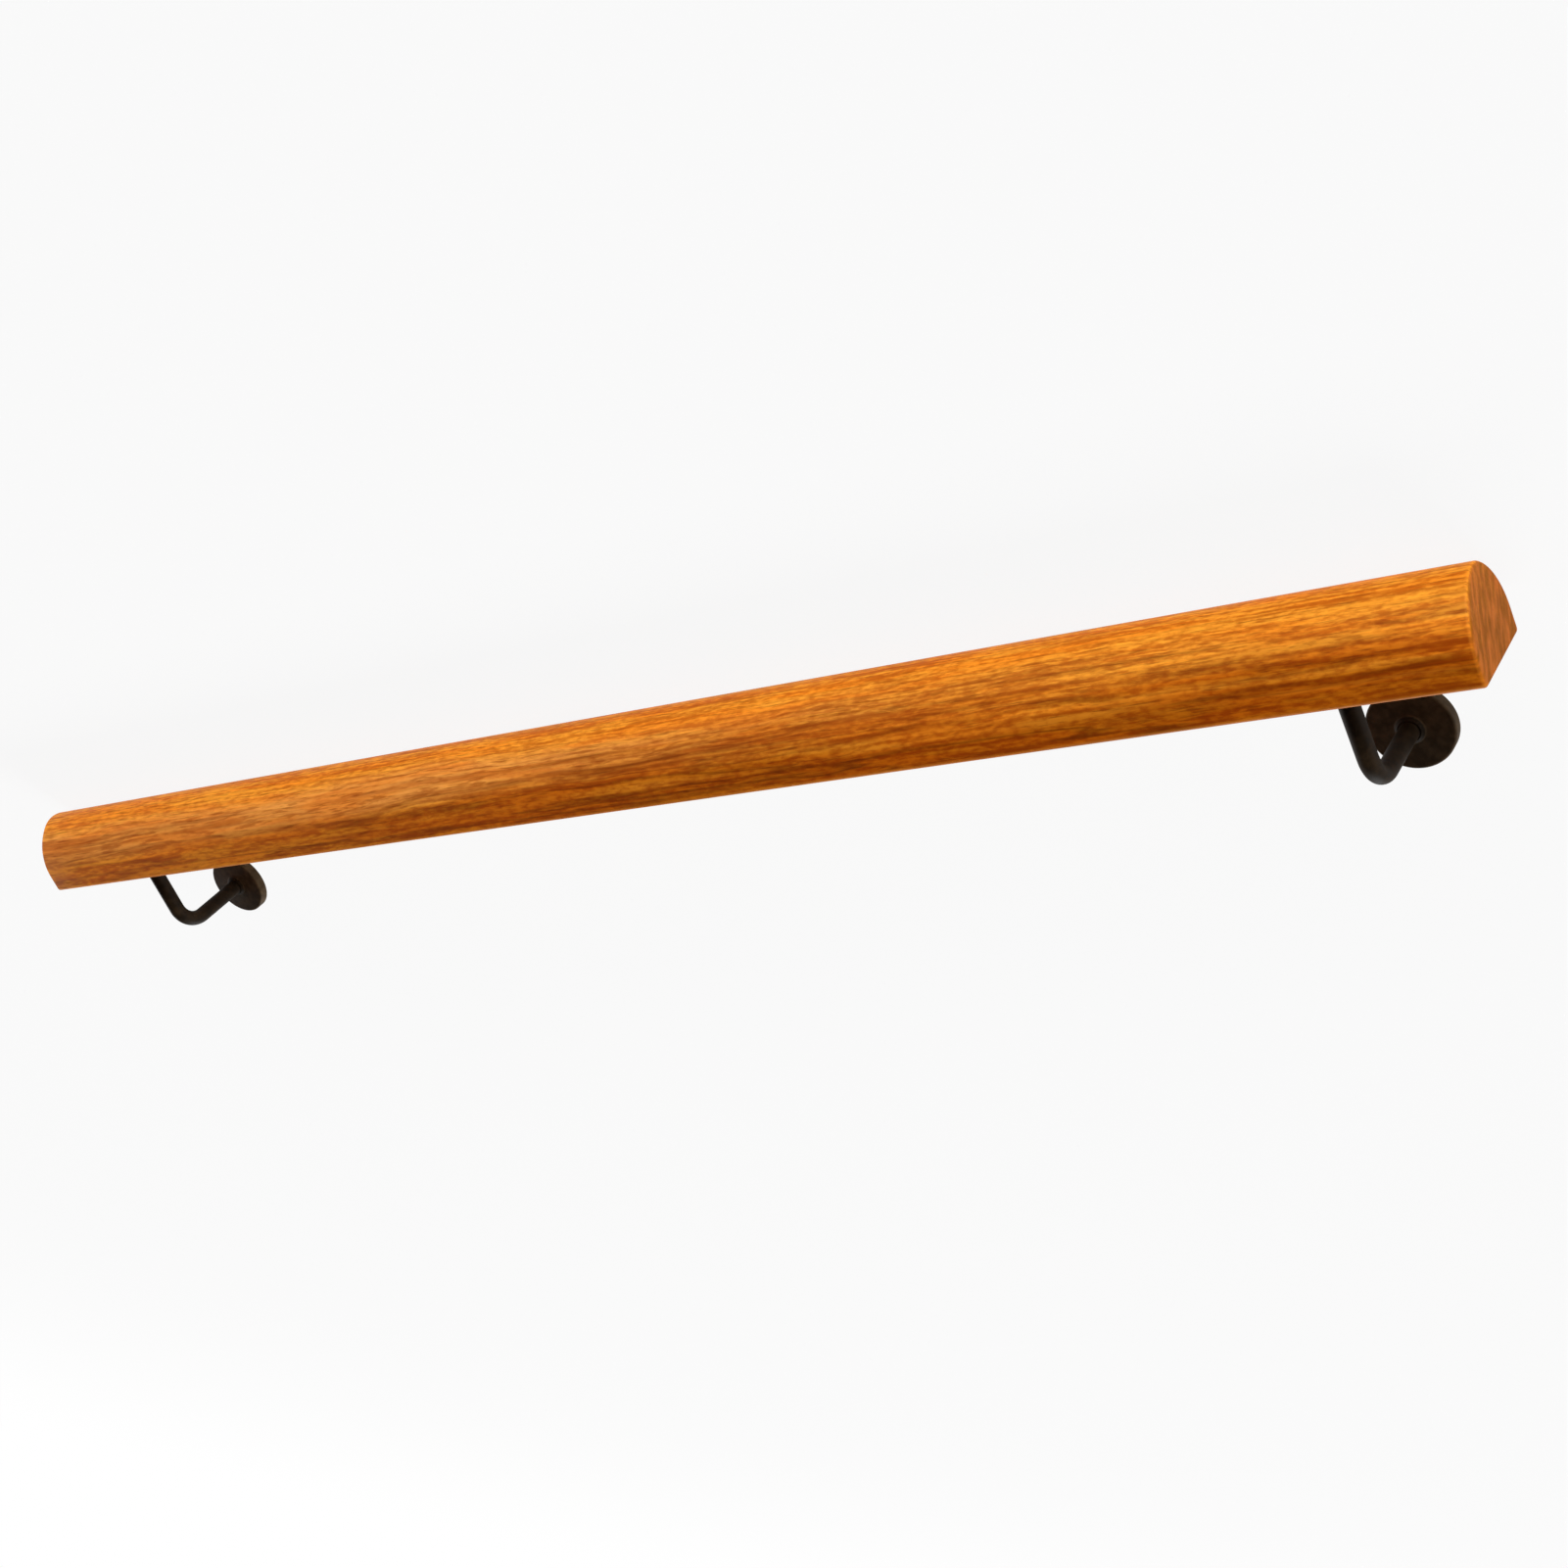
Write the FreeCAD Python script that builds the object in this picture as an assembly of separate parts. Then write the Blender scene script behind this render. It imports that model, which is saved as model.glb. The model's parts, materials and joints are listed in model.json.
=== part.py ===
"""A length of oak stair handrail on two bent-rod wall brackets.

The pieces are drawn as they hang on a wall: X runs along the rail, +Y points at the wall and +Z is up,
with Z = 0 on the rail's underside. The finished set is then laid down the way it rests by itself on a
floor, on the rail's back shoulder and the upper edges of both rosettes. All sizes are millimetres.
"""
import FreeCAD
import Part
import math
import os

# Rail: flat underside, upright flanks and a three-centred arch over the top
rail_length = 1220.0
rail_width = 63.0
rail_height = 55.0
flank_height = 14.0
crown_radius = 20.5
underside_edge_radius = 3.0
end_edge_radius = 2.4

# Bracket bar: round rod, straight down from the rail, one bend, then straight to the wall
bar_diameter = 12.0
arm_drop = 64.5
bend_radius = 18.5
wall_distance = 70.0
bracket_margin = 88.5
thread_core_diameter = 6.8
thread_depth = 16.0

# Rosette: turned disc with a chamfered front edge and a low coned collar that the bar passes through
rosette_diameter = 52.0
rosette_thickness = 8.0
rosette_edge_chamfer = 1.5
collar_foot_diameter = 18.0
collar_tip_diameter = 14.5
collar_height = 2.5
bar_clearance = 0.1

# Saddle: round-ended plate screwed flat to the rail's underside, with the bar's top welded to it
saddle_length = 64.0
saddle_width = 26.0
saddle_thickness = 4.0
saddle_edge_chamfer = 1.0
screw_spacing = 40.0
screw_hole_diameter = 5.0
screw_head_diameter = 9.5

# Worked out from the sizes above
bar_radius = bar_diameter / 2
rosette_radius = rosette_diameter / 2
half_width = rail_width / 2
arch_rise = rail_height - flank_height
shoulder_radius = (half_width ** 2 + arch_rise ** 2 - 2 * arch_rise * crown_radius) / (
    2 * (half_width - crown_radius)
)
shoulder_end = math.atan2(arch_rise - crown_radius, shoulder_radius - half_width)
bracket_places = {
    "left": bracket_margin - rail_length / 2,
    "right": rail_length / 2 - bracket_margin,
}


def point(x, y, z):
    return FreeCAD.Vector(x, y, z)


def line(start, end):
    return Part.LineSegment(start, end).toShape()


def arc(start, middle, end):
    return Part.Arc(start, middle, end).toShape()


def on_circle(centre, radius, angle):
    """The point of a circle in the rail's cross-section, at an angle from +Y towards +Z."""
    return centre + point(0, radius * math.cos(angle), radius * math.sin(angle))


def mirrored(spot):
    return point(spot.x, -spot.y, spot.z)


def shoulder_centre(x):
    return point(x, half_width - shoulder_radius, flank_height)


def crown_centre(x):
    return point(x, 0, rail_height - crown_radius)


def rail_section(x):
    """The rail's closed outline in the plane at x, from the underside up over the arch."""
    corner = point(x, half_width - underside_edge_radius, underside_edge_radius)
    underside = on_circle(corner, underside_edge_radius, -math.pi / 2)
    corner_middle = on_circle(corner, underside_edge_radius, -math.pi / 4)
    flank_foot = on_circle(corner, underside_edge_radius, 0)
    flank_top = point(x, half_width, flank_height)
    shoulder_middle = on_circle(shoulder_centre(x), shoulder_radius, shoulder_end / 2)
    shoulder_top = on_circle(shoulder_centre(x), shoulder_radius, shoulder_end)
    crown_top = on_circle(crown_centre(x), crown_radius, math.pi / 2)
    return Part.Wire([
        line(mirrored(underside), underside),
        arc(underside, corner_middle, flank_foot),
        line(flank_foot, flank_top),
        arc(flank_top, shoulder_middle, shoulder_top),
        arc(shoulder_top, crown_top, mirrored(shoulder_top)),
        arc(mirrored(shoulder_top), mirrored(shoulder_middle), mirrored(flank_top)),
        line(mirrored(flank_top), mirrored(flank_foot)),
        arc(mirrored(flank_foot), mirrored(corner_middle), mirrored(underside)),
    ])


def end_edges(rail):
    """The edges round the two sawn ends."""
    reach = rail_length / 2
    return [edge for edge in rail.Edges if all(math.isclose(abs(v.X), reach) for v in edge.Vertexes)]


def make_handrail():
    section = Part.Face(rail_section(-rail_length / 2))
    rail = section.extrude(point(rail_length, 0, 0))
    return rail.makeFillet(end_edge_radius, end_edges(rail))


def make_bar(x):
    """The bent rod: its top stands on the saddle and its other end comes out flush with the rosette's back."""
    top = point(x, 0, -saddle_thickness)
    bend_start = point(x, 0, bend_radius - arm_drop)
    bend_centre = point(x, bend_radius, bend_radius - arm_drop)
    bend_middle = on_circle(bend_centre, bend_radius, -3 * math.pi / 4)
    bend_end = point(x, bend_radius, -arm_drop)
    wall_end = point(x, wall_distance, -arm_drop)
    path = Part.Wire([
        line(top, bend_start),
        arc(bend_start, bend_middle, bend_end),
        line(bend_end, wall_end),
    ])
    ring = Part.Wire([Part.makeCircle(bar_radius, top, point(0, 0, -1))])
    rod = path.makePipeShell([ring], True, True)
    thread = Part.makeCylinder(thread_core_diameter / 2, thread_depth, wall_end, point(0, -1, 0))
    return rod.cut(thread)


def make_rosette(x):
    """A turned disc: flat back on the wall, chamfered front edge, coned collar round the bar."""
    bore = bar_radius + bar_clearance
    disc_front = wall_distance - rosette_thickness
    collar_front = disc_front - collar_height

    def at(radius, depth):
        return point(x, depth, radius - arm_drop)

    back_inner = at(bore, wall_distance)
    back_outer = at(rosette_radius, wall_distance)
    rim_front = at(rosette_radius, disc_front + rosette_edge_chamfer)
    face_edge = at(rosette_radius - rosette_edge_chamfer, disc_front)
    collar_foot = at(collar_foot_diameter / 2, disc_front)
    collar_tip = at(collar_tip_diameter / 2, collar_front)
    collar_inner = at(bore, collar_front)
    profile = Part.Wire([
        line(back_inner, back_outer),
        line(back_outer, rim_front),
        line(rim_front, face_edge),
        line(face_edge, collar_foot),
        line(collar_foot, collar_tip),
        line(collar_tip, collar_inner),
        line(collar_inner, back_inner),
    ])
    return Part.Face(profile).revolve(at(0, wall_distance), point(0, 1, 0), 360)


def make_screw_hole(x):
    """A countersunk hole up through the saddle, its head flush with the plate's lower face."""
    hole = screw_hole_diameter / 2
    head = screw_head_diameter / 2
    lower_face = point(x, 0, -saddle_thickness)
    upward = point(0, 0, 1)
    shank = Part.makeCylinder(hole, saddle_thickness, lower_face, upward)
    sink = Part.makeCone(head, hole, head - hole, lower_face, upward)
    return shank.fuse(sink)


def make_saddle(x):
    reach = saddle_length / 2 - saddle_width / 2
    side = saddle_width / 2
    tip = saddle_length / 2
    base = -saddle_thickness
    outline = Part.Wire([
        line(point(x - reach, -side, base), point(x + reach, -side, base)),
        arc(point(x + reach, -side, base), point(x + tip, 0, base), point(x + reach, side, base)),
        line(point(x + reach, side, base), point(x - reach, side, base)),
        arc(point(x - reach, side, base), point(x - tip, 0, base), point(x - reach, -side, base)),
    ])
    plate = Part.Face(outline).extrude(point(0, 0, saddle_thickness))
    lower_edges = [e for e in plate.Edges if all(math.isclose(v.Z, base) for v in e.Vertexes)]
    plate = plate.makeChamfer(saddle_edge_chamfer, lower_edges)
    for offset in (-screw_spacing / 2, screw_spacing / 2):
        plate = plate.cut(make_screw_hole(x + offset))
    return plate


def floor_angle():
    """The direction of the floor, from +Y towards +Z: it touches the rosette's upper edge and the arch."""
    rosette_edge = point(0, wall_distance, rosette_radius - arm_drop)

    def tangent(centre, radius):
        reach = rosette_edge - centre
        return math.atan2(reach.z, reach.y) + math.acos(radius / reach.Length)

    angle = tangent(shoulder_centre(0), shoulder_radius)
    if angle > shoulder_end:
        angle = tangent(crown_centre(0), crown_radius)
    return angle


def resting_place(pieces):
    """Turns the set about the rail so that the floor side faces down, and stands it on Z = 0, centred."""
    turn_down = FreeCAD.Rotation(point(1, 0, 0), -90 - math.degrees(floor_angle()))
    turn_round = FreeCAD.Rotation(point(0, 0, 1), 180)
    turn = FreeCAD.Placement(point(0, 0, 0), turn_round.multiply(turn_down))
    lying = Part.makeCompound([piece.transformed(turn.toMatrix(), True) for piece in pieces.values()])
    box = lying.optimalBoundingBox(False, False)
    return FreeCAD.Placement(point(-box.Center.x, -box.Center.y, -box.ZMin), turn.Rotation)


def make_pieces():
    pieces = {"handrail": make_handrail()}
    for side, x in bracket_places.items():
        pieces[side + "_bracket_bar"] = make_bar(x)
        pieces[side + "_wall_rosette"] = make_rosette(x)
        pieces[side + "_saddle"] = make_saddle(x)
    return pieces


os.makedirs("parts", exist_ok=True)
mounted = make_pieces()
rest = resting_place(mounted).toMatrix()
for name, piece in mounted.items():
    piece.transformed(rest, True).exportStep("parts/" + name + ".step")
    print(name, "volume", round(piece.Volume), "valid", piece.isValid())
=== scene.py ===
# %% [markdown]
# # A stair handrail on two wall brackets
# The object is a length of oak handrail, arched on top and flat underneath, held off the wall by two
# brackets of bent round bar with a dark bronze finish. Its sizes are settled already: the same parts were
# drawn in CAD and packed, and this lesson loads them as a fixed frame. Whatever is made here goes where
# that frame says, in metres, and adds the wood, the metal finish and the small fixings to it.

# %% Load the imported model
import json
import math

import bmesh
import bpy
from mathutils import Matrix, Vector


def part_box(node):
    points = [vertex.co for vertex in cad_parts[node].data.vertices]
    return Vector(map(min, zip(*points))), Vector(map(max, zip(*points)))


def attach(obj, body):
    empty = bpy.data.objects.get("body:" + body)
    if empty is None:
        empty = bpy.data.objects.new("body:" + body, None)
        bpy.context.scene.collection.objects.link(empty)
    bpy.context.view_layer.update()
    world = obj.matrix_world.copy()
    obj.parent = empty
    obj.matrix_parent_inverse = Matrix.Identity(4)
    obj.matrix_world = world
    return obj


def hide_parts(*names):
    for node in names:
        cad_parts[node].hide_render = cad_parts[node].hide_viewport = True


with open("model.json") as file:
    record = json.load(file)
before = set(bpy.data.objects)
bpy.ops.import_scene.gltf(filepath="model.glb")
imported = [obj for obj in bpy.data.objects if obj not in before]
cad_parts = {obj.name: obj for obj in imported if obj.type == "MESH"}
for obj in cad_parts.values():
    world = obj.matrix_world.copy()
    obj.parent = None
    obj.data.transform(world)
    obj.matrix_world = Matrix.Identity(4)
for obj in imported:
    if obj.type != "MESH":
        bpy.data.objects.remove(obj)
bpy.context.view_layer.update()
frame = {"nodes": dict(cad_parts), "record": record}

print("CAD nodes:", ", ".join(sorted(frame["nodes"])))

# %% [markdown]
# ## Thinking of the rail as it hangs
# The set lies on its back, as it would on a bench, but a joiner thinks of it as it hangs: along the rail,
# towards the wall, and up from the rail's underside. The bolt holes in the model's record say where the
# wall is, so one matrix can carry a shape that is drawn the hanging way to its place in the frame. Working
# this way keeps every size below as plain as on a workshop drawing.

# %% The hanging directions
mm = 0.001
wall_distance = 70 * mm
arm_drop = 64.5 * mm

mounts = {mount["name"]: mount for mount in frame["record"]["mounts"]}
left_hole = Vector(mounts["left_hanger_bolt_hole"]["pos_m"])
right_hole = Vector(mounts["right_hanger_bolt_hole"]["pos_m"])
hole_depth = mounts["left_hanger_bolt_hole"]["dims"]["length_mm"] * mm
bracket_reach = (right_hole - left_hole).length / 2

along = (right_hole - left_hole).normalized()
to_wall = Vector(mounts["left_hanger_bolt_hole"]["axis"]).normalized()
upward = along.cross(to_wall)
rail_base = (left_hole + right_hole) / 2 - to_wall * (wall_distance - hole_depth / 2) + upward * arm_drop
hang = Matrix.Translation(rail_base) @ Matrix((along, to_wall, upward)).transposed().to_4x4()

print("brackets at", round(bracket_reach / mm, 1), "mm each side of the rail's middle")
print("wall direction in the frame:", [round(part, 4) for part in to_wall])

# %% [markdown]
# ## Writing node trees as sums
# Both the finishes and the repeated shapes below are node trees. Drawing them by hand means dozens of Math
# nodes, so a small class wraps one socket and lets Python's own operators add those nodes. Anything that
# isn't a sum comes from one method, make, which sets a node's options before it fills its sockets.

# %% A socket that can be added, multiplied and compared
class Flow:
    """One value on its way through a node tree."""

    def __init__(self, tree, socket=None):
        self.tree = tree
        self.socket = socket

    def make(self, kind, settings=None, sockets=None, output=0):
        """Adds a node: first its settings, then a number, a colour or another flow for each socket."""
        node = self.tree.nodes.new(kind)
        for name, value in (settings or {}).items():
            setattr(node, name, value)
        for name, value in (sockets or {}).items():
            if isinstance(value, Flow):
                self.tree.links.new(value.socket, node.inputs[name])
            else:
                node.inputs[name].default_value = value
        return Flow(self.tree, node.outputs[output]) if node.outputs else None

    def sums(self, operation, *values):
        return self.make("ShaderNodeMath", {"operation": operation}, dict(enumerate(values)))

    def __add__(self, other):
        return self.sums("ADD", self, other)

    def __sub__(self, other):
        return self.sums("SUBTRACT", self, other)

    def __rsub__(self, other):
        return self.sums("SUBTRACT", other, self)

    def __mul__(self, other):
        return self.sums("MULTIPLY", self, other)

    def __truediv__(self, other):
        return self.sums("DIVIDE", self, other)

    def __rtruediv__(self, other):
        return self.sums("DIVIDE", other, self)

    def __pow__(self, power):
        return self.sums("POWER", self, power)

    def __lt__(self, other):
        return self.sums("LESS_THAN", self, other)

    def __gt__(self, other):
        return self.sums("GREATER_THAN", self, other)

    def __abs__(self):
        return self.sums("ABSOLUTE", self)

    __radd__ = __add__
    __rmul__ = __mul__

    def ramp(self, start, end):
        """0 before start, 1 after end and a smooth rise between; it falls where start is the larger."""
        if start > end:
            return 1 - self.ramp(end, start)
        limits = {"Value": self, "From Min": start, "From Max": end}
        return self.make("ShaderNodeMapRange", {"interpolation_type": "SMOOTHSTEP"}, limits)

    def held(self, low, high):
        return self.sums("MINIMUM", self.sums("MAXIMUM", self, low), high)

    def parts(self):
        """The three numbers of a vector."""
        split = self.make("ShaderNodeSeparateXYZ", sockets={0: self})
        return [Flow(self.tree, socket) for socket in split.socket.node.outputs]


print("flows can be added, multiplied, compared and ramped")

# %% [markdown]
# ## Patterns that both finishes use
# Wood and metal are solid, so their patterns are read from Object coordinates: the grain runs through the
# piece and meets itself at every edge, which a flat picture wrapped round it never does. A Mapping node
# turns those coordinates back to the hanging directions, so that the grain follows the rail.

# %% Colours, noise and a fresh material
def shade(red, green, blue):
    """A colour as it shows on a screen, 0 to 255, as the linear colour that a shader wants."""
    parts = [part / 255 for part in (red, green, blue)]
    return [part / 12.92 if part <= 0.04045 else ((part + 0.055) / 1.055) ** 2.4 for part in parts] + [1.0]


def hanging_place(tree):
    """The point of the surface, in metres along the rail, towards the wall and up from the underside."""
    back = hang.inverted()
    place = Flow(tree).make("ShaderNodeTexCoord", output="Object")
    turn = {"Vector": place, "Rotation": back.to_euler(), "Location": back.translation}
    return place.make("ShaderNodeMapping", sockets=turn)


def noise(place, stretch, detail=2.0, seed=0.0):
    """Noise about 0.5 with stretch waves to the metre in each direction; another seed is another noise."""
    spread = {"Vector": place, "Scale": stretch, "Location": (seed, seed, seed)}
    stretched = place.make("ShaderNodeMapping", sockets=spread)
    return place.make("ShaderNodeTexNoise", sockets={"Vector": stretched, "Scale": 1.0, "Detail": detail})


def tint(share, first, second, way="MIX"):
    """Goes from the first colour to the second by the share."""
    colours = {0: share, 6: first, 7: second}
    return share.make("ShaderNodeMix", {"data_type": "RGBA", "blend_type": way}, colours, output=2)


def fresh_material(name):
    material = bpy.data.materials.new(name)
    material.use_nodes = True
    material.node_tree.nodes.clear()
    return material


print("honey on screen (222, 134, 44) is linear", [round(part, 3) for part in shade(222, 134, 44)])

# %% [markdown]
# ## Honey oak
# The rail is oak with a honey-coloured stain under a satin varnish. A tree lays down one ring a year: a
# band of wide pores, which drink the stain and turn dark, and then dense summer wood, which stays light.
# Rings are circles round the heart of the tree, so the ring number is simply the distance from a line that
# runs behind the rail. Bending that distance with slow noise gives the arches and flames on the front and
# straight lines on the top, all from one rule.

# %% Growth rings
oak = fresh_material("honey_oak")
oak_start = Flow(oak.node_tree)
oak_place = hanging_place(oak.node_tree)
oak_along, oak_out, oak_up = oak_place.parts()

heart_behind = 105 * mm
heart_above = 12 * mm
ring_width = 2.1 * mm
slow_swing, quick_swing = 9 * mm, 2.6 * mm
slow_bend = noise(oak_place, (2.6, 14, 14), detail=2, seed=3.1) - 0.5
quick_bend = noise(oak_place, (17, 60, 60), detail=2, seed=7.7) - 0.5
bend = slow_bend * slow_swing + quick_bend * quick_swing
from_heart_out = oak_out - heart_behind
from_heart_up = oak_up - heart_above
heart_distance = (from_heart_out * from_heart_out + from_heart_up * from_heart_up) ** 0.5 + bend
ring_count = heart_distance / ring_width
ring_part = ring_count.sums("FRACT", ring_count)
pore_band = ring_part.ramp(0.0, 0.15) * ring_part.ramp(0.7, 0.2)
print("rings", round(ring_width / mm, 1), "mm wide, round a heart", round(heart_behind / mm), "mm behind")

# %% [markdown]
# ### Fibres and pores
# Between the rings, wood is bundles of long fibres. Noise that is stretched along the rail looks like them:
# the longest for the dark bands that run on for a hand's width, shorter ones for streaks, strokes and
# flecks, and a sharper one, kept mostly where the ring is porous, for the thin dark dashes of the pores.
# Across the rail the noise is finer from front to back than up and down, because the rings lie nearly
# upright. The fibres bend with the rings, so the noise is read at a place that is bent as they are. Towards
# the near end they come out of the surface more steeply, so there the flecks and strokes are cut shorter.

# %% Bands, streaks, flecks and pores
dash_waves = 50
fibre_out, fibre_up = oak_out + bend, oak_up + bend
fibre_place = oak_start.make("ShaderNodeCombineXYZ", sockets={0: oak_along, 1: fibre_out, 2: fibre_up})
shorter = oak_along * 1.15 + oak_along * oak_along * 0.28
short_place = oak_start.make("ShaderNodeCombineXYZ", sockets={0: shorter, 1: fibre_out, 2: fibre_up})
bands = noise(fibre_place, (2.4, 240, 150), detail=2, seed=1.3)
streaks = noise(fibre_place, (14, 480, 300), detail=3, seed=5.9)
flecks = noise(short_place, (110, 600, 450), detail=3, seed=8.2)
dashes = noise(fibre_place, (dash_waves, 1300, 950), detail=1, seed=9.4)
pores = dashes.ramp(0.54, 0.7) * (0.35 + pore_band * 0.65)
strokes = noise(short_place, (42, 520, 330), detail=3, seed=20.4)
blush = noise(fibre_place, (9, 170, 110), detail=2, seed=14.1)
long_waves = noise(fibre_place, (3, 120, 85), detail=2, seed=17.5)
dark_lines = abs(long_waves - 0.5).ramp(0.05, 0.0)
clouds = noise(oak_place, (3.2, 24, 24), detail=2, seed=12.6)
print("pores are dashes about", round(1 / dash_waves / mm), "mm long")

# %% [markdown]
# ### The stain, with painted sheen, shade and edge highlights
# Stain is a thin see-through colour: it is pale where the wood is dense and deep where the wood drinks, and
# it turns redder here and yellower there with the wood under it. A paler tan band across the middle of the
# front is painted sheen, with short dark strokes through it. Low on the flanks the colour is made deeper
# and redder as painted shade, for the light that fades down the flank. Cut ends drink unevenly, in soft
# leaning stripes of rosy and olive brown, and the rounded lower and end edges are painted lighter as a
# highlight where they catch the light.

# %% Colour of the oak
dense_wood = shade(252, 164, 48)
stained_wood = shade(204, 112, 24)
deep_streak = shade(158, 76, 14)
pore_colour = shade(112, 54, 10)
# paler tan for the painted sheen band across the front
tan_sheen_colour = shade(228, 152, 76)
red_glow = shade(253, 233, 206)
# deeper, redder colour for the painted shade low on the flanks
low_shade_colour = shade(202, 172, 106)

lightness = (bands * 0.17 + streaks * 0.37 + flecks * 0.46).ramp(0.395, 0.605)
oak_colour = tint(lightness, stained_wood, dense_wood)
# painted sheen: a paler tan band across the middle of the front, stronger towards the far end, with the
# dark strokes stronger inside it
sheen_band_height = oak_up + bend * 1.5
tan_sheen_band = sheen_band_height.ramp(20 * mm, 32 * mm) * sheen_band_height.ramp(52 * mm, 42 * mm)
tan_sheen_share = tan_sheen_band * (0.05 + oak_along.ramp(0.45, -0.2) * 0.6) * (0.5 + flecks)
oak_colour = tint(tan_sheen_share, oak_colour, tan_sheen_colour)
oak_colour = tint(strokes.ramp(0.5, 0.34) * (0.2 + tan_sheen_band * 0.4), oak_colour, deep_streak)
oak_colour = tint(blush.ramp(0.42, 0.6), oak_colour, red_glow, "MULTIPLY")
oak_colour = tint(pore_band * 0.2, oak_colour, deep_streak)
# painted shade: low on the flanks, and more towards the near end, the colour is made deeper and redder and
# the dark bands and lines stronger, for the light that fades down the flank
painted_low_shade = (oak_up + (bands - 0.5) * (45 * mm) + (clouds - 0.5) * (30 * mm)).ramp(48 * mm, 12 * mm)
painted_low_shade = painted_low_shade * (0.66 + oak_along.ramp(-0.6, 0.2) * 0.34)
dark_bands = (bands * 0.5 + streaks * 0.5).ramp(0.48, 0.36) * (0.2 + painted_low_shade * 0.25)
oak_colour = tint(dark_bands, oak_colour, deep_streak)
oak_colour = tint(dark_lines * (0.1 + painted_low_shade * 0.42), oak_colour, pore_colour)
oak_colour = tint(pores * 0.5, oak_colour, pore_colour)
oak_colour = tint(painted_low_shade, oak_colour, low_shade_colour, "MULTIPLY")
print("oak goes from", [round(c, 2) for c in deep_streak[:3]], "to", [round(c, 2) for c in dense_wood[:3]])

# %% Cut ends and painted edge highlights
rosy_end = shade(198, 110, 42)
olive_end = shade(144, 82, 12)
# lighter colour for the painted highlight on the rounded edges
edge_highlight_colour = shade(240, 148, 46)
rail_low, rail_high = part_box("handrail")
rail_length = rail_high.x - rail_low.x
half_length = rail_length / 2

cut_end = abs(oak_along).ramp(half_length - 1.1 * mm, half_length - 0.25 * mm)
end_lean = 0.6
end_across = oak_out - oak_up * end_lean + bend
end_place = oak_start.make("ShaderNodeCombineXYZ", sockets={0: oak_along, 1: end_across, 2: oak_up})
end_stripes = noise(end_place, (3, 210, 62), detail=3, seed=6.3)
end_colour = tint(end_stripes.ramp(0.34, 0.66), olive_end, rosy_end)
oak_colour = tint(cut_end * 0.85, oak_colour, end_colour)
# painted highlight: the rounded lower edges and the edges round the cut ends are made lighter, where they
# catch the light
low_edge = oak_up.ramp(3.8 * mm, 1.6 * mm) * abs(oak_out).ramp(27.5 * mm, 29.5 * mm)
end_edge = abs(oak_along).ramp(half_length - 3 * mm, half_length - 1.5 * mm) * (1 - cut_end)
edge_highlight = (low_edge + end_edge * 0.5).held(0, 1) * (0.15 + clouds * 0.5)
oak_colour = tint(edge_highlight, oak_colour, edge_highlight_colour)
print("cut ends are", round(rail_length / mm), "mm apart")

# %% [markdown]
# ### The varnish
# Two thin coats of satin varnish leave the pores just open, so the grain is still felt under a finger. A
# bump node lowers the pores by a hair, and the gloss is a little duller in them and on the cut ends.

# %% Varnish of the oak
grain_height = flecks * 0.35 - pores
grain_bump = oak_start.make("ShaderNodeBump", sockets={
    "Strength": 0.25, "Distance": 0.15 * mm, "Height": grain_height,
})
oak_roughness = 0.46 + pores * 0.2 + (clouds - 0.5) * 0.12 + cut_end * 0.15
oak_surface = oak_start.make("ShaderNodeBsdfPrincipled", sockets={
    "Base Color": oak_colour, "Roughness": oak_roughness, "Normal": grain_bump,
    "Specular IOR Level": 0.05,
})
oak_start.make("ShaderNodeOutputMaterial", sockets={"Surface": oak_surface})
print("honey_oak has", len(oak.node_tree.nodes), "nodes")

# %% [markdown]
# ## Dark bronze
# The brackets have a factory finish that imitates old oiled bronze: nearly black, warm brown where light
# catches it, and neither shiny nor dead flat. The bent bars and the collars round them are painted darker
# than the rosettes' discs: painted shade on the bars, which catch more of the lamps' light, and painted
# light on the discs, which get less, so that both render about equally dark; the colour changes at the foot
# of each collar. A mottled noise moves the colour and the gloss a little, and a very fine bump stands for
# the grain of the sprayed coat.

# %% Sprayed bronze coat
bronze = fresh_material("dark_bronze")
bronze_start = Flow(bronze.node_tree)
bronze_place = hanging_place(bronze.node_tree)
mottle = noise(bronze_place, (180, 180, 180), detail=4, seed=2.2)
grit = noise(bronze_place, (2600, 2600, 2600), detail=2, seed=4.8)
blotches = mottle.ramp(0.3, 0.72)
# painted shade and light: the bars' coat is made darker and the discs' coat lighter than one bronze, to
# offset the light that each gets
bar_coat_painted_darker = tint(blotches, shade(26, 18, 9), shade(42, 31, 19))
rosette_coat_painted_lighter = tint(blotches, shade(62, 48, 32), shade(86, 69, 49))
coat_change = 61.8 * mm
on_disc = bronze_place.parts()[1].ramp(coat_change - 0.9 * mm, coat_change)
bronze_colour = tint(on_disc, bar_coat_painted_darker, rosette_coat_painted_lighter)
bronze_bump = bronze_start.make("ShaderNodeBump", sockets={
    "Strength": 0.3, "Distance": 0.05 * mm, "Height": grit,
})
bronze_surface = bronze_start.make("ShaderNodeBsdfPrincipled", sockets={
    "Base Color": bronze_colour, "Roughness": 0.48 + mottle * 0.2, "Normal": bronze_bump,
    "Specular IOR Level": 0.06,
})
bronze_start.make("ShaderNodeOutputMaterial", sockets={"Surface": bronze_surface})
print("dark_bronze has", len(bronze.node_tree.nodes), "nodes")

# %% [markdown]
# ## Growing shapes from rules
# Geometry Nodes can make a shape from a few named sizes, the way a jig does. A few helpers keep that short:
# one opens a tree with its inputs, one ends it with the finish, one runs it and keeps the result as a plain
# mesh, and the last moves that mesh from the hanging directions into the frame.

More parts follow.
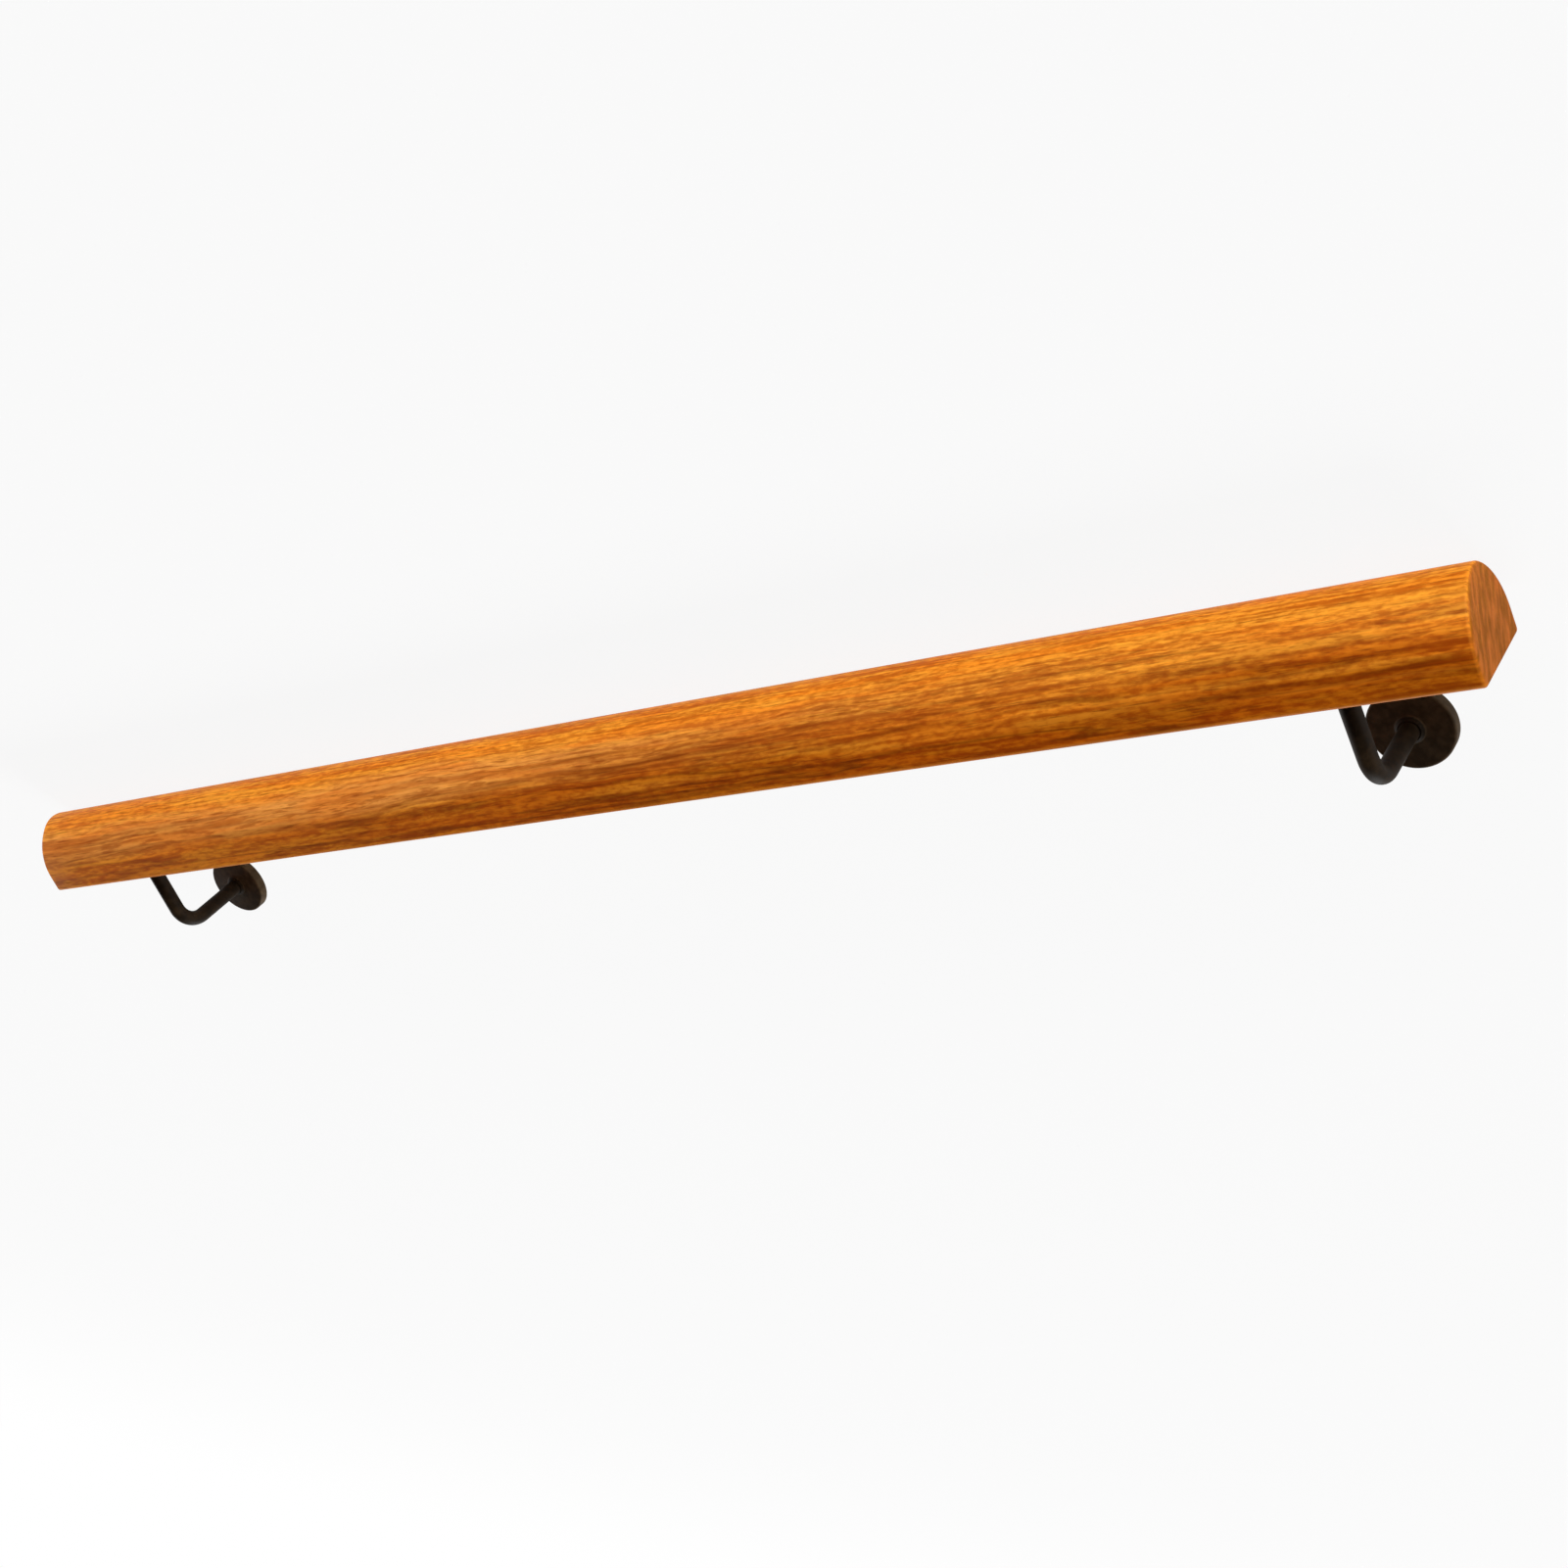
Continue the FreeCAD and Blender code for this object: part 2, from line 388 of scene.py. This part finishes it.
# %% Open and close a tree
def open_tree(name, sizes):
    """An empty tree with a mesh input and one input per size, which come back as flows by their names."""
    tree = bpy.data.node_groups.new(name, "GeometryNodeTree")
    tree.interface.new_socket("Shape", in_out="OUTPUT", socket_type="NodeSocketGeometry")
    tree.interface.new_socket("Start", in_out="INPUT", socket_type="NodeSocketGeometry")
    for size, kind in sizes.items():
        tree.interface.new_socket(size, in_out="INPUT", socket_type="NodeSocket" + kind)
    sources = tree.nodes.new("NodeGroupInput").outputs
    return {socket.name: Flow(tree, socket) for socket in sources if socket.name}


def close_tree(shape, finish):
    real = shape.make("GeometryNodeRealizeInstances", sockets={"Geometry": shape})
    coated = shape.make("GeometryNodeSetMaterial", sockets={"Geometry": real, "Material": finish})
    shape.make("NodeGroupOutput", sockets={0: coated})
    return shape.tree


print("a tree opens with named sizes and closes with a finish")

# %% Run a tree and keep its mesh
merge_gap = 0.001 * mm
sharp_from = math.radians(35)


def new_piece(name, mesh):
    piece = bpy.data.objects.new(name, mesh)
    bpy.context.scene.collection.objects.link(piece)
    return piece


def settle(piece):
    """Turns a piece's modifiers into plain mesh: welded, facing outwards, smooth but for real corners."""
    ready = piece.evaluated_get(bpy.context.evaluated_depsgraph_get())
    mesh = bpy.data.meshes.new_from_object(ready)
    piece.modifiers.clear()
    shell = bmesh.new()
    shell.from_mesh(mesh)
    bmesh.ops.remove_doubles(shell, verts=shell.verts, dist=merge_gap)
    bmesh.ops.recalc_face_normals(shell, faces=shell.faces)
    open_edges = sum(not edge.is_manifold for edge in shell.edges)
    shell.to_mesh(mesh)
    shell.free()
    mesh.shade_smooth()
    mesh.set_sharp_from_angle(angle=sharp_from)
    piece.data = mesh
    print(piece.name, "has", len(mesh.polygons), "faces and", open_edges, "open edges")
    return piece


def grow(name, tree, sizes, start=None):
    """Runs a tree with these sizes and keeps what it makes, still in the hanging directions."""
    piece = new_piece(name, start or bpy.data.meshes.new(name))
    modifier = piece.modifiers.new("rule", "NODES")
    modifier.node_group = tree
    for socket in tree.interface.items_tree:
        if socket.in_out == "INPUT" and socket.name in sizes:
            modifier[socket.identifier] = sizes[socket.name]
    return settle(piece)


def hang_up(piece):
    """Moves a finished shape from the hanging directions into the frame, in its mesh."""
    piece.data.transform(hang)
    return piece


print("edges that turn more than", round(math.degrees(sharp_from)), "degrees stay sharp")

# %% [markdown]
# ## The arched rail
# The rail's section is a three-centred arch: a tight crown, two wide shoulders that run into it without a
# kink, upright flanks and small rounded corners below. It could be swept along a curve, but the eased ends
# need the outline moved inwards, which scaling gets wrong. So a grid is bent instead: each column of it is
# one direction round the section, and a point is the centre of that direction's arc plus the arc's radius.
# Taking a little off every radius moves the whole outline inwards evenly, just as a router bit does.

# %% Rule for the rail
def arched_rail_tree():
    size = open_tree("arched_rail", dict.fromkeys([
        "Length", "Width", "Height", "Flank Height", "Crown Radius", "Corner Radius", "End Radius",
    ], "Float"))
    start = size["Length"]
    around, easing_steps, length_steps = 160, 7, 14
    first_ring = 2
    middle_ring = first_ring + easing_steps + length_steps
    columns = around + 1
    rings = 2 * middle_ring + 1
    grid = start.make("GeometryNodeMeshGrid", sockets={"Vertices X": rings, "Vertices Y": columns})
    index = start.make("GeometryNodeInputIndex")
    ring = index.sums("FLOOR", (index + 0.5) / columns)
    turn = (index - ring * columns + 0.5) * (2 * math.pi / around)

    half, crown, corner = size["Width"] / 2, size["Crown Radius"], size["Corner Radius"]
    flank = size["Flank Height"]
    rise = size["Height"] - flank
    shoulder = (half * half + rise * rise - rise * crown * 2) / ((half - crown) * 2)
    crown_end = start.sums("ARCTAN2", shoulder - half, rise - crown)
    face_out, face_up = turn.sums("SINE", turn), turn.sums("COSINE", turn)
    lean = face_up.sums("ARCCOSINE", face_up)
    on_arch, on_crown = lean < math.pi / 2, lean < crown_end
    radius = corner + (shoulder - corner) * on_arch + (crown - shoulder) * on_crown
    arc_out = (half - corner) + (corner - shoulder) * on_arch + (shoulder - half) * on_crown
    arc_up = corner + (flank - corner) * on_arch + (rise - crown) * on_crown

    from_end = ring.sums("MINIMUM", ring, 2 * middle_ring - ring)
    easing = ((from_end - first_ring) / easing_steps).held(0, 1) * (math.pi / 2)
    reach = size["Length"] / 2
    inner_ring = (from_end < 1.5) * (0.4 * mm)
    taken_off = size["End Radius"] * (1 - easing.sums("SINE", easing)) + inner_ring
    set_back = size["End Radius"] * (1 - easing.sums("COSINE", easing))
    run = ((from_end - first_ring - easing_steps) / length_steps).held(0, 1)
    place_along = (reach - set_back) * (1 - run) * (ring - middle_ring).sums("SIGN", ring - middle_ring)
    open_part = from_end.held(0, 1)
    place_out = (arc_out * face_out.sums("SIGN", face_out) + (radius - taken_off) * face_out) * open_part
    end_middle = size["Height"] / 2
    place_up = end_middle + (arc_up + (radius - taken_off) * face_up - end_middle) * open_part
    place = start.make("ShaderNodeCombineXYZ", sockets={0: place_along, 1: place_out, 2: place_up})
    shape = start.make("GeometryNodeSetPosition", sockets={"Geometry": grid, "Position": place})
    return close_tree(shape, oak)


rail_rule = arched_rail_tree()
print("the rule for the rail has", len(rail_rule.nodes), "nodes")

# %% Make the rail
rail_sizes = {
    "Length": rail_length, "Width": 63 * mm, "Height": 55 * mm, "Flank Height": 14 * mm,
    "Crown Radius": 20.5 * mm, "Corner Radius": 3 * mm, "End Radius": 2.4 * mm,
}
rail = hang_up(grow("oak_rail", rail_rule, rail_sizes))
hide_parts("handrail")
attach(rail, "root")
print("rail length", round(rail_length / mm, 1), "mm")

# %% [markdown]
# ## The bent bars
# Each bracket is one round bar, straight down from the rail, through one bend and straight on to the wall.
# A bender gives the bend the radius of its former, and Geometry Nodes does the same: three points make the
# route, Fillet Curve rounds the middle one, and a circle is swept along it.

# %% Rule for a bent bar
bar_radius = 6 * mm
bend_radius = 18.5 * mm
saddle_thickness = 4 * mm


def bent_bar_tree():
    size = open_tree("bent_bar", dict.fromkeys([
        "Place", "Top", "Drop", "Reach", "Bend Radius", "Bar Radius",
    ], "Float"))
    start = size["Place"]
    index = start.make("GeometryNodeInputIndex")
    below = index > 0.5
    corner = start.make("ShaderNodeCombineXYZ", sockets={
        0: size["Place"],
        1: size["Reach"] * (index > 1.5),
        2: 0 - size["Top"] - (size["Drop"] - size["Top"]) * below,
    })
    line = start.make("GeometryNodeMeshLine", sockets={"Count": 3})
    corners = start.make("GeometryNodeSetPosition", sockets={"Geometry": line, "Position": corner})
    route = start.make("GeometryNodeMeshToCurve", sockets={"Mesh": corners})
    bent = start.make("GeometryNodeFilletCurve", {"mode": "POLY"}, {
        "Curve": route, "Count": 18, "Radius": size["Bend Radius"],
    })
    ring = start.make("GeometryNodeCurvePrimitiveCircle", sockets={
        "Resolution": 48, "Radius": size["Bar Radius"],
    })
    bar = start.make("GeometryNodeCurveToMesh", sockets={
        "Curve": bent, "Profile Curve": ring, "Fill Caps": True,
    })
    return close_tree(bar, bronze)


bar_rule = bent_bar_tree()
print("the rule for a bent bar has", len(bar_rule.nodes), "nodes")

# %% [markdown]
# ### A tapped hole in the wall end
# The bar screws on to a bolt that stands out of the wall, so its end has a tapped hole. A tap cuts a groove
# that climbs one pitch with each turn. The same bent-grid rule makes the tap, with a radius that rises and
# falls with the climb, and a Boolean takes it out of the bar, as the real tap does.

# %% Rule for the tap
core_radius = 3.4 * mm
thread_height = 0.55 * mm
thread_pitch = 1.25 * mm


def tap_tree():
    size = open_tree("tap", dict.fromkeys([
        "Place", "Drop", "Wall", "Depth", "Core Radius", "Groove", "Pitch",
    ], "Float"))
    start = size["Place"]
    around, steps = 36, 132
    columns = around + 1
    grid = start.make("GeometryNodeMeshGrid", sockets={"Vertices X": steps + 3, "Vertices Y": columns})
    index = start.make("GeometryNodeInputIndex")
    ring = index.sums("FLOOR", (index + 0.5) / columns)
    column = index - ring * columns
    turn = column * (2 * math.pi / around)
    depth_part = ((ring - 1) / steps).held(0, 1)
    deep = depth_part * (size["Depth"] + size["Pitch"]) - size["Pitch"]
    climb = deep / size["Pitch"] + column / around
    groove = abs(climb.sums("FRACT", climb) * 2 - 1)
    runs_out = (size["Depth"] - deep - size["Pitch"] * 1.5) / size["Pitch"]
    radius = size["Core Radius"] + size["Groove"] * groove.ramp(0.15, 0.85) * runs_out.held(0, 1)
    closed = (ring > 0.5) * (ring < steps + 1.5)
    place = start.make("ShaderNodeCombineXYZ", sockets={
        0: size["Place"] + radius * closed * turn.sums("COSINE", turn),
        1: size["Wall"] - deep,
        2: radius * closed * turn.sums("SINE", turn) - size["Drop"],
    })
    shape = start.make("GeometryNodeSetPosition", sockets={"Geometry": grid, "Position": place})
    return close_tree(shape, bronze)


tap_rule = tap_tree()
print("the tap cuts", round(hole_depth / thread_pitch, 1), "turns of thread")

# %% Make both bars
bracket_places = {"left": -bracket_reach, "right": bracket_reach}
for side, place in bracket_places.items():
    bar = grow(side + "_bent_bar", bar_rule, {
        "Place": place, "Top": saddle_thickness, "Drop": arm_drop, "Reach": wall_distance,
        "Bend Radius": bend_radius, "Bar Radius": bar_radius,
    })
    tap = grow("tap", tap_rule, {
        "Place": place, "Drop": arm_drop, "Wall": wall_distance, "Depth": hole_depth,
        "Core Radius": core_radius, "Groove": thread_height, "Pitch": thread_pitch,
    })
    cut = bar.modifiers.new("tapping", "BOOLEAN")
    cut.object, cut.operation, cut.solver = tap, "DIFFERENCE", "EXACT"
    hang_up(settle(bar))
    bpy.data.objects.remove(tap)
    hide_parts(side + "_bracket_bar")
    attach(bar, "root")

# %% [markdown]
# ## The wall rosettes
# A rosette is a turned disc that hides the fixing. On a lathe its outline is one profile, so here too: the
# profile's corners are listed as radius and distance from the wall, and spun round the bar's line. The
# front edge is softly rounded, and a low collar closes up to the bar.

# %% Profile of a rosette
rosette_radius = 26 * mm
rosette_thickness = 8 * mm
rim_rounding = 1.5 * mm
collar_foot = 9 * mm
collar_tip = 7.25 * mm
collar_height = 2.5 * mm
bore_radius = 6.1 * mm


def rosette_profile():
    """Corners as (radius, distance from the wall), from the bore at the back round to the bore in front."""
    front = rosette_thickness
    tip = front + collar_height
    back_bevel, foot_hollow, tip_rounding = 0.3 * mm, 1.1 * mm, 0.5 * mm
    profile = [(bore_radius, 0), (rosette_radius - back_bevel, 0), (rosette_radius, back_bevel)]
    for step in range(9):
        angle = step / 8 * math.pi / 2
        inwards, down = rim_rounding * (1 - math.cos(angle)), rim_rounding * (1 - math.sin(angle))
        profile.append((rosette_radius - inwards, front - down))
    for step in range(5):
        angle = step / 4 * math.radians(55)
        inwards, up = foot_hollow * (math.sin(angle) - 0.6), foot_hollow * (1 - math.cos(angle))
        profile.append((collar_foot - inwards, front + up))
    for step in range(5):
        angle = math.radians(35) + step / 4 * math.radians(55)
        inwards, down = tip_rounding * (1 - math.cos(angle)), tip_rounding * (1 - math.sin(angle))
        profile.append((collar_tip - inwards, tip - down))
    profile.append((bore_radius, tip))
    return profile


print("the rosette's profile has", len(rosette_profile()), "corners")

# %% Turn the rosettes
def turned(name, profile, finish, steps=96):
    """Spins a closed profile round the line that the bar takes to the wall, at the middle of the rail."""
    shell = bmesh.new()
    corners = [shell.verts.new((0, -distance, radius)) for radius, distance in profile]
    edges = [shell.edges.new((corners[i - 1], corners[i])) for i in range(len(corners))]
    bmesh.ops.spin(shell, geom=corners + edges, axis=(0, 1, 0), cent=(0, 0, 0),
                   angle=2 * math.pi, steps=steps)
    mesh = bpy.data.meshes.new(name)
    shell.to_mesh(mesh)
    shell.free()
    mesh.materials.append(finish)
    return new_piece(name, mesh)


for side, place in bracket_places.items():
    rosette = turned(side + "_rosette", rosette_profile(), bronze)
    rosette.data.transform(Matrix.Translation((place, wall_distance, -arm_drop)))
    hang_up(settle(rosette))
    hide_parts(side + "_wall_rosette")
    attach(rosette, "root")

# %% [markdown]
# ## The saddles
# A saddle is the flat, round-ended plate under the rail that the bar stands on. The CAD plate is right as
# it is, with its bevelled edge and two countersunk holes, so it stays and only gets the bronze finish.

# %% Finish the saddles
for side in bracket_places:
    for slot in frame["nodes"][side + "_saddle"].material_slots:
        slot.material = bronze
print("saddles take", bronze.name)

# %% [markdown]
# ## Wood screws
# Two countersunk screws go up through each saddle into the oak. One screw is turned from its profile and
# gets its cross with a Boolean; four points then carry copies of it, each turned by a seeded random angle,
# because nobody lines up screws by hand.

# %% One screw
screw_head_radius = 4.6 * mm
screw_shank_radius = 2.3 * mm
screw_spacing = 40 * mm
wing_length, wing_width, wing_height = 5.2 * mm, 1.05 * mm, 3.0 * mm


def wood_screw():
    """A screw that points up, with the top of its head at height 0 and facing down."""
    dome, rim = 0.35 * mm, 0.15 * mm
    profile = [(0.0, dome)]
    for step in range(1, 7):
        part = step / 6
        profile.append((screw_head_radius * 0.97 * part, dome * (1 - part * part)))
    cone = screw_head_radius - screw_shank_radius
    tip = 0.05 * mm - saddle_thickness
    profile += [(screw_head_radius, -rim), (screw_shank_radius, -rim - cone),
                (screw_shank_radius, tip), (0.0, tip)]
    screw = turned("screw", profile, bronze, steps=40)
    screw.data.transform(Matrix.Rotation(math.pi / 2, 4, "X"))
    settle(screw)
    for turn in (0, math.pi / 2):
        wing = bmesh.new()
        bmesh.ops.create_cube(wing, size=1)
        for corner in wing.verts:
            narrow = 1.0 if corner.co.z < 0 else 0.45
            corner.co.x *= wing_length * narrow
            corner.co.y *= wing_width * (0.6 + 0.4 * narrow)
            corner.co.z *= wing_height
        bmesh.ops.rotate(wing, verts=wing.verts, matrix=Matrix.Rotation(turn, 3, "Z"))
        mesh = bpy.data.meshes.new("wing")
        wing.to_mesh(mesh)
        wing.free()
        cutter = new_piece("wing", mesh)
        cut = screw.modifiers.new("cross", "BOOLEAN")
        cut.object, cut.operation, cut.solver = cutter, "DIFFERENCE", "EXACT"
        settle(screw)
        bpy.data.objects.remove(cutter)
    return screw


one_screw = wood_screw()
print("one screw is", [round(side / mm, 1) for side in one_screw.dimensions], "mm")

# %% Four screws on their points
def screws_tree():
    size = open_tree("screws", {"Screw": "Object", "Seed": "Int"})
    start = size["Start"]
    screw = start.make("GeometryNodeObjectInfo", sockets={"Object": size["Screw"]}, output="Geometry")
    turns = start.make("FunctionNodeRandomValue", {"data_type": "FLOAT_VECTOR"}, {
        0: (0, 0, 0), 1: (0, 0, math.pi), "Seed": size["Seed"],
    })
    copies = start.make("GeometryNodeInstanceOnPoints", sockets={
        "Points": start, "Instance": screw, "Rotation": turns,
    })
    return close_tree(copies, bronze)


screw_points = bpy.data.meshes.new("screw_points")
screw_points.from_pydata([
    (place + offset, 0, -saddle_thickness)
    for place in bracket_places.values() for offset in (-screw_spacing / 2, screw_spacing / 2)
], [], [])
screws = hang_up(grow("wood_screws", screws_tree(), {"Screw": one_screw, "Seed": 4}, screw_points))
bpy.data.objects.remove(one_screw)
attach(screws, "root")

# %% [markdown]
# ## Weld beads
# The bar's top is welded to the saddle all round. A weld is laid in overlapping drops, so the bead is a
# tube round a circle whose thickness swells and shrinks with each drop.

# %% Rule for a weld bead
def weld_bead_tree():
    size = open_tree("weld_beads", {"Ring Radius": "Float", "Bead Radius": "Float", "Drops": "Int"})
    start = size["Start"]
    steps = 132
    circle = start.make("GeometryNodeCurvePrimitiveCircle", sockets={
        "Resolution": steps, "Radius": size["Ring Radius"],
    })
    index = start.make("GeometryNodeInputIndex")
    swing = index * size["Drops"] * (math.pi / steps)
    swell = 0.86 + abs(swing.sums("SINE", swing)) * 0.2
    drop = start.make("GeometryNodeCurvePrimitiveCircle", sockets={
        "Resolution": 14, "Radius": size["Bead Radius"],
    })
    bead = start.make("GeometryNodeCurveToMesh", sockets={
        "Curve": circle, "Profile Curve": drop, "Scale": swell,
    })
    copies = start.make("GeometryNodeInstanceOnPoints", sockets={"Points": start, "Instance": bead})
    return close_tree(copies, bronze)


bead_rule = weld_bead_tree()
print("the rule for a weld bead has", len(bead_rule.nodes), "nodes")

# %% Lay both beads
bead_height = -saddle_thickness - 0.4 * mm
bead_points = bpy.data.meshes.new("bead_points")
bead_points.from_pydata([(place, 0, bead_height) for place in bracket_places.values()], [], [])
beads = hang_up(grow("weld_beads", bead_rule, {
    "Ring Radius": bar_radius + 0.5 * mm, "Bead Radius": 1.6 * mm, "Drops": 22,
}, bead_points))
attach(beads, "root")

# %% [markdown]
# ## Floor
# The set is shown on a plain white floor that curves up into a wall far off, as in a photographer's studio.
# The floor's own colour gives the white: to the camera and in reflections most of it is an even white of
# strength 1, and the rest is an ordinary pale surface that takes the shadow. Away from the rail the even
# part grows until it is all there is, so that neither the lamps' pools of light nor the wall show.

# %% White of the floor
floor_paint = fresh_material("white_floor")
floor_start = Flow(floor_paint.node_tree)
near_white, far_white = 0.9, 1.0
near_reach, far_reach = 2.0, 5.6
pale_grey = 0.82

floor_place = floor_start.make("ShaderNodeTexCoord", output="Object")
distance = floor_start.make("ShaderNodeVectorMath", {"operation": "LENGTH"}, {0: floor_place}, "Value")
even_white = near_white + distance.ramp(near_reach, far_reach) * (far_white - near_white)
light_path = floor_start.make("ShaderNodeLightPath").socket.node
in_camera, in_gloss, in_glass = [
    Flow(floor_paint.node_tree, light_path.outputs[ray])
    for ray in ("Is Camera Ray", "Is Glossy Ray", "Is Transmission Ray")
]
seen = (in_camera + in_gloss + in_glass).held(0, 1)
pale = floor_start.make("ShaderNodeBsdfDiffuse", sockets={"Color": (pale_grey, pale_grey, pale_grey, 1)})
white = floor_start.make("ShaderNodeEmission", sockets={"Color": (1, 1, 1, 1), "Strength": 1.0})
floor_mix = floor_start.make("ShaderNodeMixShader", sockets={0: seen * even_white, 1: pale, 2: white})
floor_start.make("ShaderNodeOutputMaterial", sockets={"Surface": floor_mix})
print("even white is", near_white, "of the floor near the rail and", far_white, "of it far off")

# %% Floor shape
floor_reach, wall_height, sweep = 30.0, 14.0, 5.0
floor_sides, sweep_steps = 64, 6


def floor_ring(shell, reach, height):
    turns = [2 * math.pi * side / floor_sides for side in range(floor_sides)]
    return [shell.verts.new((reach * math.cos(turn), reach * math.sin(turn), height)) for turn in turns]


floor_shell = bmesh.new()
floor_rings = []
for step in range(sweep_steps + 1):
    turn = math.pi / 2 * step / sweep_steps
    reach, height = floor_reach - sweep * (1 - math.sin(turn)), sweep * (1 - math.cos(turn))
    floor_rings.append(floor_ring(floor_shell, reach, height))
floor_rings.append(floor_ring(floor_shell, floor_reach, wall_height))
floor_shell.faces.new(floor_rings[0])
for inner, outer in zip(floor_rings, floor_rings[1:]):
    for side in range(floor_sides):
        floor_shell.faces.new((inner[side - 1], outer[side - 1], outer[side], inner[side]))
floor_mesh = bpy.data.meshes.new("floor")
floor_shell.to_mesh(floor_mesh)
floor_shell.free()
floor_mesh.materials.append(floor_paint)
floor = new_piece("floor", floor_mesh)
print("floor", 2 * floor_reach, "m across with a wall", wall_height, "m high")

# %% [markdown]
# ## Lamps
# Because the rail lies on its back, its crown looks along the floor. So the strongest lamp is a wide soft
# box that stands low in front, a little towards the near end, and the light fades down the flank as it does
# in the photograph. A higher one behind lights the underside and throws the soft shadow forwards, and one
# beyond each end lights the cut ends. They stand metres away, so that the light is even along the rail.

# %% Soft boxes and sky
lamp_aim = Vector((0, 0, 0.03))


def softbox(name, place, width, height, power):
    """A wide, soft lamp that faces the rail."""
    lamp = bpy.data.lights.new(name, "AREA")
    lamp.shape, lamp.size, lamp.size_y, lamp.energy = "RECTANGLE", width, height, power
    holder = new_piece(name, lamp)
    look = (lamp_aim - Vector(place)).to_track_quat("-Z", "Y").to_matrix().to_4x4()
    holder.matrix_world = Matrix.Translation(place) @ look
    holder.visible_camera = False


softbox("front_lamp", (-2.0, -5.6, 0.55), width=4.8, height=1.0, power=340)
softbox("back_lamp", (1.2, 11.0, 5.4), width=9.6, height=3.0, power=1250)
softbox("near_end_lamp", (-11.0, 2.4, 1.2), width=5.4, height=2.4, power=410)
softbox("far_end_lamp", (12.0, 2.4, 1.4), width=5.4, height=2.6, power=520)

sky = bpy.data.worlds.new("studio")
bpy.context.scene.world = sky
sky.use_nodes = True
sky.node_tree.nodes.clear()
sky_start = Flow(sky.node_tree)
sky_fill = 0.12
sky_light = sky_start.make("ShaderNodeBackground", sockets={"Color": (1, 1, 1, 1), "Strength": sky_fill})
sky_start.make("ShaderNodeOutputWorld", sockets={"Surface": sky_light})
print("lamps:", ", ".join(lamp.name for lamp in bpy.data.lights), "and a sky of", sky_fill)

# %% [markdown]
# ## Camera
# The photograph looks down on the front of the rail from beyond its right end, with the camera tilted so
# that the rail climbs across the picture. The place, the aim and the tilt were found by fitting the rail's
# outline, and are written here in the hanging directions.

# %% Camera at the photograph's angle
camera_place = Vector((1014.44, -1014.96, 490.51)) * mm
camera_aim = Vector((279.06, -165.14, 69.77)) * mm
camera_tilt = math.radians(-25.02)
camera_data = bpy.data.cameras.new("camera")
camera_data.sensor_width = 36
camera_data.lens = 51.44
camera = new_piece("camera", camera_data)
look = (camera_aim - camera_place).to_track_quat("-Z", "Y").to_matrix().to_4x4()
camera.matrix_world = hang @ Matrix.Translation(camera_place) @ look @ Matrix.Rotation(camera_tilt, 4, "Z")
bpy.context.scene.camera = camera
bpy.context.scene.view_settings.view_transform = "Standard"
print("camera stands at", [round(part, 3) for part in camera.matrix_world.translation])
